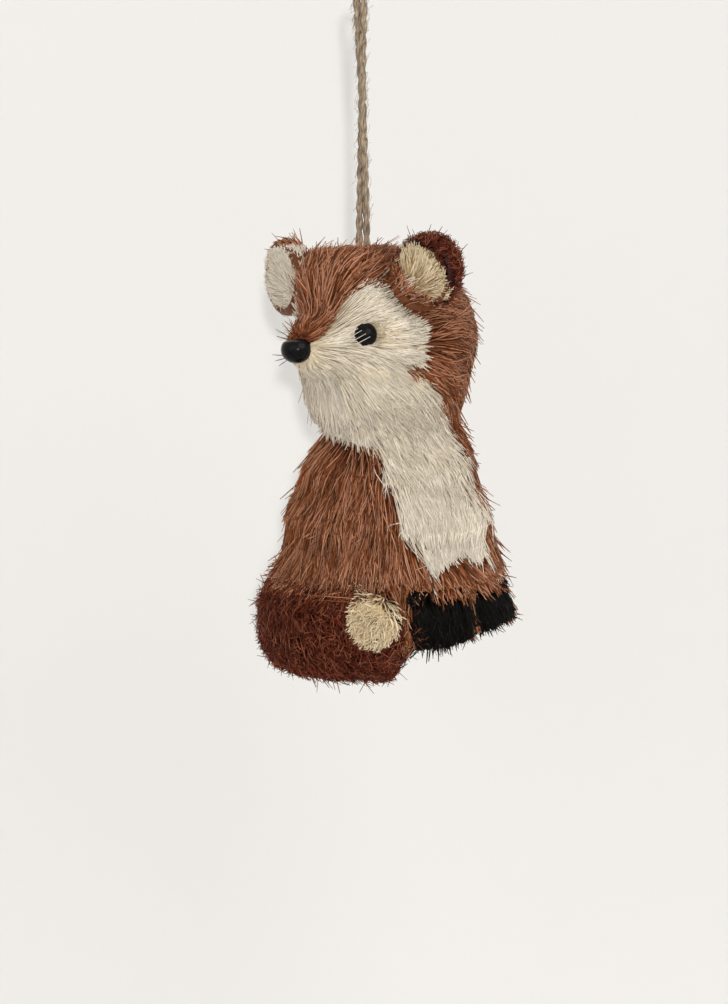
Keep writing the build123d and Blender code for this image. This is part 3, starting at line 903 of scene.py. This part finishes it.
def raised(coat, node, point, steps, length, rng):
    """One bristle's line: it starts below the coat and rises to its tip, a stray further than the rest."""
    stray = rng.random() < coat.strays
    tip = coat.rise * MM * rng.uniform(*TIP_RISES)
    if stray:
        tip += rng.uniform(*STRAY_RISES) * MM
    depth = min(coat.depth * MM, length * 0.5) * recess(node, point)
    line = []
    for i, (place, up, _) in enumerate(steps):
        share = i / STEPS
        lift = -depth + (depth + tip) * share ** (1.5 if stray else 0.7)
        curl = coat.curl * MM * share
        line.append(place + up * lift + Vector([rng.gauss(0, curl) for _ in range(3)]))
    if min((point - bead).length for bead in BEADS) < BEAD_TUCK:
        line[0] -= (steps[1][0] - steps[0][0]).normalized() * TUCK
    return line


def grow(node, group, skin, rng):
    """The bristles rooted on one coat, as (whose colour each has, its line)."""
    lines = []
    for point, out in scatter_roots(node, skin, group[node].coat.per_mm2, rng):
        owner = whose(node, point)
        lying = settle(node, owner, group, point, out, skin, rng)
        if lying is None:
            continue
        steps, length = lying
        line = raised(group[owner].coat, node, point, steps, length, rng)
        if not any(in_swing_room(p) for p in line):
            lines.append((owner if patch_for(node) else steps[2][2], line))
    return lines


def bristle_section(radius):
    """The section that every bristle is drawn along."""
    turns = [-math.tau * i / SIDES for i in range(SIDES)]
    corners = [(radius * math.cos(turn), radius * math.sin(turn), 0) for turn in turns]
    data = new_curve("bristle_section", [corners], dimensions="2D")
    data.splines[0].use_cyclic_u = True
    return new_object("bristle_section", data)


def drawn(name, lines, rng, width=1.0, tone=1.0):
    """Bristles as one mesh, each with its shade and how far along it each of its points is."""
    settings = bpy.context.scene.fox_bristle
    rings, section = len(lines[0]), bristle_section(settings.thickness / 2 * width)
    taper = np.linspace(1, settings.fineness, rings).astype(np.float32)
    taper[:-1] = np.maximum(taper[:-1], 0.8)
    radii = [taper * rng.uniform(0.75, 1.15) for _ in lines]
    mesh = mesh_of(new_curve(name, lines, radii=radii, bevel_mode="OBJECT", bevel_object=section))
    bpy.data.curves.remove(section.data)
    points = len(lines) * rings * SIDES
    if len(mesh.vertices) != points:
        raise RuntimeError(f"{name}: {len(mesh.vertices)} points for {len(lines)} bristles")
    mark(mesh, "shade", np.repeat([rng.random() * tone for _ in lines], rings * SIDES))
    mark(mesh, "along", np.tile(np.repeat(np.linspace(0, 1, rings), SIDES), len(lines)))
    mark(mesh, "other", np.zeros(points))
    with shaped(mesh) as work:
        bmesh.ops.holes_fill(work, edges=[e for e in work.edges if e.is_boundary], sides=SIDES)
    mesh.validate()
    return smoothed(mesh)


LOOSE_SHARE = 0.2  # how much of the bake map goes to loose faces, before their rows are filled up
LOOSE_CORNERS = np.array([(0.15, 0.15), (0.85, 0.15), (0.15, 0.85), (0.85, 0.85)])
END_ACROSS, END_UP, FAR_END = np.array([0.0, 1.0, 0.5]), np.array([0.0, 0.0, 0.12]), 0.88


def loose_cells(face, turn, loose):
    """A small cell of the bake map for each loose face, in rows, and how high the rows reach together."""
    across = math.ceil(math.sqrt(loose / LOOSE_SHARE))
    corner = LOOSE_CORNERS[np.minimum(turn, 3)]
    cells = (np.stack([face % across, face // across], 1) + corner) / across
    return cells, math.ceil(loose / across) / across


def bristle_cells(face, place, faces, band):
    """A small cell of the bake map for each bristle, above a band: its sides in a row, between its ends."""
    rings = STEPS + 1
    strand, ring, side = place // (rings * SIDES), place % (rings * SIDES) // SIDES, place % SIDES
    touched = np.zeros((faces, SIDES), bool)
    touched[face, side] = True
    is_end = touched.all(1)[face]
    closes = (touched[:, 0] & touched[:, 2] & ~touched[:, 1])[face]
    u = np.where(closes & (side == 0), SIDES, side) / SIDES
    v = 0.2 + 0.6 * ring / (rings - 1)
    u = np.where(is_end, END_ACROSS[side], u)
    v = np.where(is_end, END_UP[side] + np.where(ring > 0, FAR_END, 0.0), v)
    count = int(strand.max()) + 1
    columns = math.ceil(math.sqrt(2 * count / (1 - band)))
    rows = math.ceil(count / columns)
    across = (strand % columns + 0.12 + 0.76 * u) / columns
    return np.stack([across, band + (1 - band) * (strand // columns + 0.06 + 0.88 * v) / rows], 1)


def bake_cells(mesh, loose, points):
    """A map that gives each bristle, and each of the first loose faces, a small cell of its own."""
    corners = read(mesh.loops, "vertex_index", np.int32)
    starts, totals = (read(mesh.polygons, name, np.int32) for name in ("loop_start", "loop_total"))
    face = np.repeat(np.arange(len(starts)), totals)
    turn = np.arange(len(corners)) - starts[face]
    uv, band, own = np.zeros((len(corners), 2)), 0.0, face < loose
    if loose:
        uv[own], band = loose_cells(face[own], turn[own], loose)
    uv[~own] = bristle_cells(face[~own], corners[~own] - points, len(starts), band)
    layer = mesh.uv_layers.get("OFBake") or mesh.uv_layers.new(name="OFBake")
    layer.uv.foreach_set("vector", uv.astype(np.float32).ravel())


Worn = namedtuple("Worn", "coat slot width tone finish", defaults=(1.0, 1.0, None))
# An underlay's low shade value darkens it as painted shade between the bristles; under black bristle it turns
# black.
UNDER_BLACK, UNDER_SHADED = -0.2, 0.25  # an underlay's shade under black bristle, and elsewhere


def ground_marks(node, group, mesh):
    """For each point of an underlay, its shade value, low everywhere as painted shade between the bristles
    and so low under black bristle that it turns black, and 1 where bristle of another colour covers it.
    """
    own = group[node].slot
    slots = np.array([group[whose(node, v.co)].slot for v in mesh.vertices])
    black = (slots != own) & (slots == "black_bristle")
    return np.where(black, UNDER_BLACK, UNDER_SHADED), (slots != own) & ~black


def make_coats(group, seed):
    """Finishes a group of neighbouring coats. A bristle takes its colour from the ground it lies on."""
    skin, rng = skin_now(), random.Random(seed)
    held = {node: [] for node in group}
    for node in group:
        for ground, line in grow(node, group, skin, rng):
            held[ground if ground in held else node].append(line)
    for node, worn in group.items():
        base = underlay(node, skin, worn.coat.depth * MM * UNDERLAY_SHARE, node + "_coat")
        points, loose = len(base.data.vertices), len(base.data.polygons)
        shade, other = ground_marks(node, group, base.data)
        # The underlay takes the bristles' dark root colour and a low shade value: painted shade between the
        # bristles.
        mark(base.data, "shade", shade)
        mark(base.data, "along", np.zeros(points))
        mark(base.data, "other", other)
        joined(base, drawn(node + "_lines", held[node], rng, worn.width, worn.tone))
        bake_cells(base.data, loose, points)
        finished(base, coat_finishes()[worn.finish or worn.slot], "fox", worn.slot, node)


# ---------------- stage


def room_sheet(name, place, turn, see_through):
    """One flat square of the room."""
    mesh = bpy.data.meshes.new(name)
    with shaped(mesh) as work:
        bmesh.ops.create_grid(work, x_segments=1, y_segments=1, size=ROOM_SIZE / 2)
    sheet = new_object(name, mesh)
    sheet.location, sheet.rotation_euler = place, turn
    wear(sheet, backdrop_material("Pale " + name, see_through))


def studio_world():
    """White light from all round, which the camera, gloss and glass see as the backdrop's colour."""
    world = bpy.data.worlds.new("Studio")
    world.use_nodes = True
    tree, backdrop = world.node_tree, opaque(bpy.context.scene.fox_colours.backdrop)
    seen = add_node(tree, "LightPath").outputs
    looked = seen["Is Camera Ray"]
    for ray in ("Is Transmission Ray", "Is Glossy Ray"):
        looked = add_node(tree, "Math", {0: looked, 1: seen[ray]}, operation="MAXIMUM").outputs[0]
    lit = add_node(tree, "Background", {0: (1, 1, 1, 1), 1: LIT_LEVEL}).outputs[0]
    shown = fill(tree, tree.nodes["Background"], {0: backdrop}).outputs[0]
    either = add_node(tree, "MixShader", {0: looked, 1: lit, 2: shown}).outputs[0]
    fill(tree, tree.nodes["World Output"], {0: either})
    return world


class FOX_OT_stage(bpy.types.Operator):
    """Set the camera, the lamps, the wall and the floor"""

    bl_idname = "fox.stage"
    bl_label = "Stage"

    def execute(self, context):
        scene, settings = context.scene, context.scene.fox_stage
        scene.view_settings.view_transform = "Standard"
        data = bpy.data.cameras.new("camera")
        data.lens, data.clip_start, data.clip_end = CAMERA_LENS, 0.01, 20
        scene.camera = new_object("camera", data)
        scene.camera.location = (CAMERA_ASIDE, -settings.camera_distance, CAMERA_HEIGHT)
        scene.camera.rotation_euler = (math.pi / 2, 0, 0)
        room_sheet("wall", (0, settings.wall_distance, 0), (math.pi / 2, 0, 0), True)
        room_sheet("floor", (0, 0, -settings.floor_drop), (0, 0, 0), False)
        scene.world = studio_world()
        for name, (aside, above, spread, strength) in LAMPS.items():
            lamp = bpy.data.lights.new(name, "SUN")
            lamp.angle, lamp.energy = math.radians(spread), strength
            new_object(name, lamp).rotation_euler = (math.radians(90 - above), 0, math.radians(aside))
        return {"FINISHED"}


# ---------------- beads and twine


def bead(name, place, half, flat_top=None):
    """A smooth bead of the given half sizes across, along and up the head (mm), flattened above flat_top."""
    mesh = bpy.data.meshes.new(name)
    with shaped(mesh) as work:
        bmesh.ops.create_uvsphere(work, u_segments=48, v_segments=32, radius=1)
        for vert in work.verts:
            across, along, up = (c * h * MM for c, h in zip(vert.co, half))
            if flat_top is not None and up > flat_top * MM:
                up = flat_top * MM + (up - flat_top * MM) * 0.45
            vert.co = place + HEAD_LEFT * across - HEAD_FORWARD * along + HEAD_UP * up
    return new_object(name, smoothed(mesh))


def loop_line():
    """The twine loop's middle line, as points about a half millimetre apart."""
    route = [[c * MM for c in place] for place in LOOP_ROUTE]
    data = new_curve("loop_line", [route], "NURBS", resolution_u=60)
    data.splines[0].order_u, data.splines[0].use_endpoint_u = 3, True
    mesh = mesh_of(data)
    points = [v.co.copy() for v in mesh.vertices]
    bpy.data.meshes.remove(mesh)
    return points


# How the hung loop lies: heights, with how far apart its legs stand and how far both lean aside there (mm).
LOOP_LAY = [
    (-80, 1.0, 0), (-66, 1.0, 0), (-38, 0.15, -0.2), (-26, 0.5, -0.5),
    (-12, 0.6, -0.7), (-4, 0.9, -0.3), (2, 1.0, 0),
]


def draped(line):
    """The loop's line with its legs drawn together and leaning, as they hang."""
    heights, apart, aside = zip(*LOOP_LAY)
    drape = []
    for p in line:
        lean = np.interp(p.z / MM, heights, aside) * MM
        drape.append(Vector((p.x * np.interp(p.z / MM, heights, apart) + lean, p.y, p.z)))
    return drape


def evenly(points, gap):
    """The same line with points a set distance apart."""
    lengths = [0.0]
    for a, b in zip(points, points[1:]):
        lengths.append(lengths[-1] + (b - a).length)
    count = max(2, int(lengths[-1] / gap))
    marks = np.linspace(0, lengths[-1], count + 1)
    axes = [np.interp(marks, lengths, [p[i] for p in points]) for i in range(3)]
    return [Vector(p) for p in zip(*axes)]


def plied(line, plies, offset, pitch, gap):
    """Lines that wind round another, as the plies of a twine do."""
    line = evenly(line, gap)
    side = (line[1] - line[0]).orthogonal().normalized()
    strands = [[] for _ in range(plies)]
    for i, place in enumerate(line):
        ahead = (line[min(i + 1, len(line) - 1)] - line[max(i - 1, 0)]).normalized()
        side = flat(side, ahead)
        for k, strand in enumerate(strands):
            turn = math.tau * (i * gap / pitch + k / plies)
            strand.append(place + Quaternion(ahead, turn) @ side * offset)
    return strands


def tube(name, lines, radius, sides=8):
    """Round tubes along several lines, as one mesh."""
    roundness = max(0, sides // 2 - 2)
    curve = new_curve(name, lines, bevel_depth=radius, bevel_resolution=roundness, use_fill_caps=True)
    return smoothed(mesh_of(curve))


def knot_line():
    """The twine wound round into a knot, from its top down and back up through the middle."""
    middle, line = Vector((0, 0, KNOT_HEIGHT)), []
    for share in np.linspace(0, 1, KNOT_STEPS):
        high = (KNOT_TOP - KNOT_DROP * share) * MM
        wide = math.sqrt(KNOT_RADIUS**2 - (high + 0.1 * MM) ** 2 * 0.8)
        turn = math.tau * KNOT_TURNS * share
        line.append(middle + Vector((math.cos(turn) * wide, math.sin(turn) * wide, high)))
    return line + [middle + Vector((0.1, 0, high)) * MM for high in (-1.6, -0.8, 0.2, KNOT_TOP)]


def twine_hairs(line, rng):
    """Short loose fibres along the twine, clear of both its ends."""
    spots, hairs = evenly(line, TWINE_STEP), []
    for _ in range(HAIR_COUNT):
        i = rng.randrange(HAIRLESS[0], len(spots) - HAIRLESS[1])
        ahead = (spots[i + 1] - spots[i]).normalized()
        out = flat(Vector([rng.gauss(0, 1) for _ in range(3)]), ahead)
        reach, hair = rng.uniform(*HAIR_REACH) * MM, []
        for share in (0, 1 / 3, 2 / 3, 1):
            bend = Vector([rng.gauss(0, HAIR_BEND) for _ in range(3)]) * MM * share * 3
            hair.append(spots[i] + out * (HAIR_START + reach * 0.4 * share) + ahead * reach * share + bend)
        hairs.append(hair)
    return hairs


def twine_material():
    """Twisted jute, with darker fibres along it."""
    base = tuple(bpy.context.scene.fox_colours.jute)
    dark = tuple(c * 0.3 for c in base)
    return grained_material("Jute twine", base, dark, 2200, 0.8, 0.8, (1, 1, 0.14), 0.15)


class FOX_OT_twine(bpy.types.Operator):
    """Twist the hanging loop and its knot out of jute"""

    bl_idname = "fox.twine"
    bl_label = "Twine Loop"

    def execute(self, context):
        line, material = draped(loop_line()), twine_material()
        plies = plied(line, 2, PLY_OFFSET, PLY_PITCH, TWINE_STEP)
        loop = new_object("hanging_twine", tube("hanging_twine", plies, PLY_RADIUS))
        joined(loop, tube("twine_hairs", twine_hairs(line, random.Random(7)), HAIR_RADIUS, 4))
        finished(loop, material, "twine", "jute_twine", "hanging_loop")
        knot = new_object("wound_knot", tube("wound_knot", [knot_line()], KNOT_STRAND, 10))
        finished(knot, material, "knot", "jute_twine", "loop_knot")
        return {"FINISHED"}


# The plain solids' finishes: a name, the colours of its grain, the grain's size, its roughness and relief,
# and the slot and nodes that it goes to.
PLAIN_LOOKS = [
    (
        "Turned wood", (0.5, 0.32, 0.17), (0.34, 0.19, 0.09), 700, 0.55, 0.3,
        {"turned_wood": ("knot_collar", "neck_peg", "tail_peg")},
    ),
    (
        "Pressed card", (0.36, 0.26, 0.17), (0.26, 0.18, 0.11), 1500, 0.9, 0.5,
        {
            "pressed_core": ("head_core", "body_core", "tail_core"),
            "ear_card": ("ear_card_left", "ear_card_right"),
        },
    ),
    ("Base felt", (0.16, 0.085, 0.05), (0.08, 0.04, 0.022), 2200, 0.95, 0.9, {"base_felt": ("base_pad",)}),
]
WOOD_STRETCH = (6, 6, 1)


class FOX_OT_hard_parts(bpy.types.Operator):
    """Finish the beads, the wood, the card cores and the base"""

    bl_idname = "fox.hard_parts"
    bl_label = "Beads and Cores"

    def execute(self, context):
        gloss = bead_material()
        beads = [("nose", NOSE_PLACE - NOSE_SAG, NOSE_HALF, NOSE_FLAT)]
        beads += [(name, eye, EYE_HALF, None) for name, eye in zip(("eye_left", "eye_right"), EYES)]
        for name, place, half, flat_top in beads:
            finished(bead(name + "_bead", place, half, flat_top), gloss, "fox", "bead_gloss", name)
        for name, *grain, slots in PLAIN_LOOKS:
            material = grained_material(name, *grain, WOOD_STRETCH if "wood" in name else (1, 1, 1))
            for slot, nodes in slots.items():
                for node in nodes:
                    wear(NODES[node], material)
        return {"FINISHED"}


# ---------------- coats and single bristles

# Single bristles: the finish, width, tone and lift (mm) of each set, then each one's start and end as
# (across, height) in mm. They stand on whatever coat lies behind their start.
STRANDS = {
    "whiskers": ("black_bristle", 0.7, 1.0, 0, [
        (-18.6, -102.9, -23.0, -100.4), (-17.4, -102.6, -19.5, -97.5), (-18.0, -102.6, -21.3, -98.8),
        (-19.6, -107.5, -23.9, -107.2), (-19.0, -108.0, -22.2, -110.2), (-19.4, -107.8, -23.2, -108.9),
    ]),
    "eye_strands": ("cream_bristle", 1.0, 1.0, 1.4, [
        (-8.8, -105.8, -0.3, -100.9), (-8.0, -106.6, 0.8, -101.8),
        (-6.7, -107.1, 1.9, -102.6), (-9.4, -104.9, -1.3, -100.4),
    ]),
    "paw_tufts": ("black_bristle", 1.6, 1.0, 0.8, [
        (17.4, -180.6, 16.7, -188.4), (18.7, -180.6, 18.4, -187.2), (19.7, -180.4, 19.9, -188.0),
        (20.8, -180.2, 21.0, -186.6), (22.5, -180.0, 23.1, -186.2), (24.0, -179.6, 24.7, -185.2),
        (16.6, -180.8, 15.6, -187.0), (18.1, -180.6, 17.3, -187.9),
    ]),
    "tail_strands": ("brown_bristle", 1.0, 1.2, 4.0, [
        (-18.0, -170.3, -2.4, -171.2), (-21.4, -172.3, -5.2, -169.8),
        (-16.8, -171.6, -3.6, -172.1), (-12.0, -169.6, -1.6, -173.0),
    ]),
}


STRAND_START, STRAND_DEPTH = -60 * MM, 0.4  # where the coat is looked for from, and how deep a root is in it
EYE_CLEAR, EYE_DOME = 4 * MM, 4.1 * MM


def strand_lines(skin, lift, spans):
    """Single bristles over the front, each from the coat behind its start, and clear of the left eye."""
    lines, eye = [], EYES[0]
    for x0, z0, x1, z1 in spans:
        line, front = [], None
        for k in range(STEPS + 1):
            share = k / STEPS
            x, z = (x0 + (x1 - x0) * share) * MM, (z0 + (z1 - z0) * share) * MM
            near = skin.hull.ray_cast(Vector((x, STRAND_START, z)), Vector((0, 1, 0)))[0]
            if near is not None or front is None:
                front = near.y if near is not None else NOSE_PLACE.y + 2 * MM
            y = front - (lift * share - STRAND_DEPTH) * MM
            aside = math.hypot(x - eye.x, z - eye.z)
            if aside < EYE_CLEAR:
                y = min(y, eye.y - math.sqrt(EYE_DOME**2 - aside**2))
            line.append(Vector((x, y, z)))
        lines.append(line)
    return lines


class FOX_OT_head(bpy.types.Operator):
    """Comb the head: forehead, crown, nape, cheeks, chin, ears and ruffs"""

    bl_idname = "fox.head"
    bl_label = "Head Coat"

    def execute(self, context):
        brown, cream = "brown_bristle", "cream_bristle"
        group = {f"{n}_bristles": Worn(HEAD_COAT, brown, 1.2, 1.12) for n in ("forehead", "crown", "nape")}
        for node in ("cheek_bristles_left", "cheek_bristles_right", "chin_bristles"):
            group[node] = Worn(MASK_COAT, cream, 1.2)
        for side, finish in (("left", "warm_cream"), ("right", cream)):
            group[f"ear_pile_{side}"] = Worn(EAR_COAT, "russet_pile", 0.9)
            group[f"ear_lining_{side}"] = Worn(LINING_COAT, cream, 0.9, 1.0, finish)
        group["throat_ruff"] = Worn(RUFF_COAT, cream, 1.2)
        group["nape_ruff"] = Worn(RUFF_COAT, brown, 1.3)
        make_coats(group, 11)
        return {"FINISHED"}


class FOX_OT_body(bpy.types.Operator):
    """Comb the body's tiers, the bib and the paws"""

    bl_idname = "fox.body"
    bl_label = "Body Coat"

    def execute(self, context):
        group = {f"body_bristles_{i}": Worn(BODY_COAT, "brown_bristle", 1.3) for i in range(1, 5)}
        group.update({f"bib_bristles_{i}": Worn(BIB_COAT, "cream_bristle", 1.1) for i in range(1, 4)})
        group.update({f"paw_bristles_{side}": Worn(PAW_COAT, "black_bristle") for side in ("left", "right")})
        make_coats(group, 41)
        return {"FINISHED"}


class FOX_OT_tail(bpy.types.Operator):
    """Raise the tail's curly pile and its cream tip"""

    bl_idname = "fox.tail"
    bl_label = "Tail"

    def execute(self, context):
        group = {
            "tail_bristles": Worn(TAIL_COAT, "russet_pile"),
            "tail_tip_bristles": Worn(TIP_COAT, "cream_bristle", 1.25, 1.0, "warm_cream"),
        }
        make_coats(group, 71)
        return {"FINISHED"}


class FOX_OT_strands(bpy.types.Operator):
    """Set the single bristles: whiskers, eye strands, paw tufts and tail strands"""

    bl_idname = "fox.strands"
    bl_label = "Single Bristles"

    def execute(self, context):
        rng = random.Random(5)
        for name, (slot, width, tone, lift, spans) in STRANDS.items():
            strands = new_object(name, drawn(name, strand_lines(skin_now(), lift, spans), rng, width, tone))
            bake_cells(strands.data, 0, 0)
            finished(strands, coat_finishes()[slot], "fox", slot)
        return {"FINISHED"}


# ---------------- panel and running

OPERATORS = [
    FOX_OT_stage,
    FOX_OT_twine,
    FOX_OT_hard_parts,
    FOX_OT_head,
    FOX_OT_body,
    FOX_OT_tail,
    FOX_OT_strands,
]


class FOX_PT_panel(bpy.types.Panel):
    """Lists the fox's pieces and settings"""

    bl_label = "Bristle Fox"
    bl_space_type = "VIEW_3D"
    bl_region_type = "UI"
    bl_category = "Bristle Fox"

    def draw(self, context):
        for group in ("fox_bristle", "fox_colours", "fox_stage"):
            settings = getattr(context.scene, group)
            for name in settings.__annotations__:
                self.layout.prop(settings, name)
        for made in OPERATORS:
            self.layout.operator(made.bl_idname)


SETTINGS = [FoxBristleSettings, FoxColourSettings, FoxStageSettings]


def register():
    """Adds the settings, the operators and the panel."""
    for made in SETTINGS + OPERATORS + [FOX_PT_panel]:
        bpy.utils.register_class(made)
    bpy.types.Scene.fox_bristle = PointerProperty(type=FoxBristleSettings)
    bpy.types.Scene.fox_colours = PointerProperty(type=FoxColourSettings)
    bpy.types.Scene.fox_stage = PointerProperty(type=FoxStageSettings)


def unregister():
    """Takes them away again."""
    del bpy.types.Scene.fox_bristle
    del bpy.types.Scene.fox_colours
    del bpy.types.Scene.fox_stage
    for made in reversed(SETTINGS + OPERATORS + [FOX_PT_panel]):
        bpy.utils.unregister_class(made)


def main():
    """Builds every piece in order."""
    register()
    for made in OPERATORS:
        group, name = made.bl_idname.split(".")
        getattr(getattr(bpy.ops, group), name)()


if __name__ == "__main__":
    main()
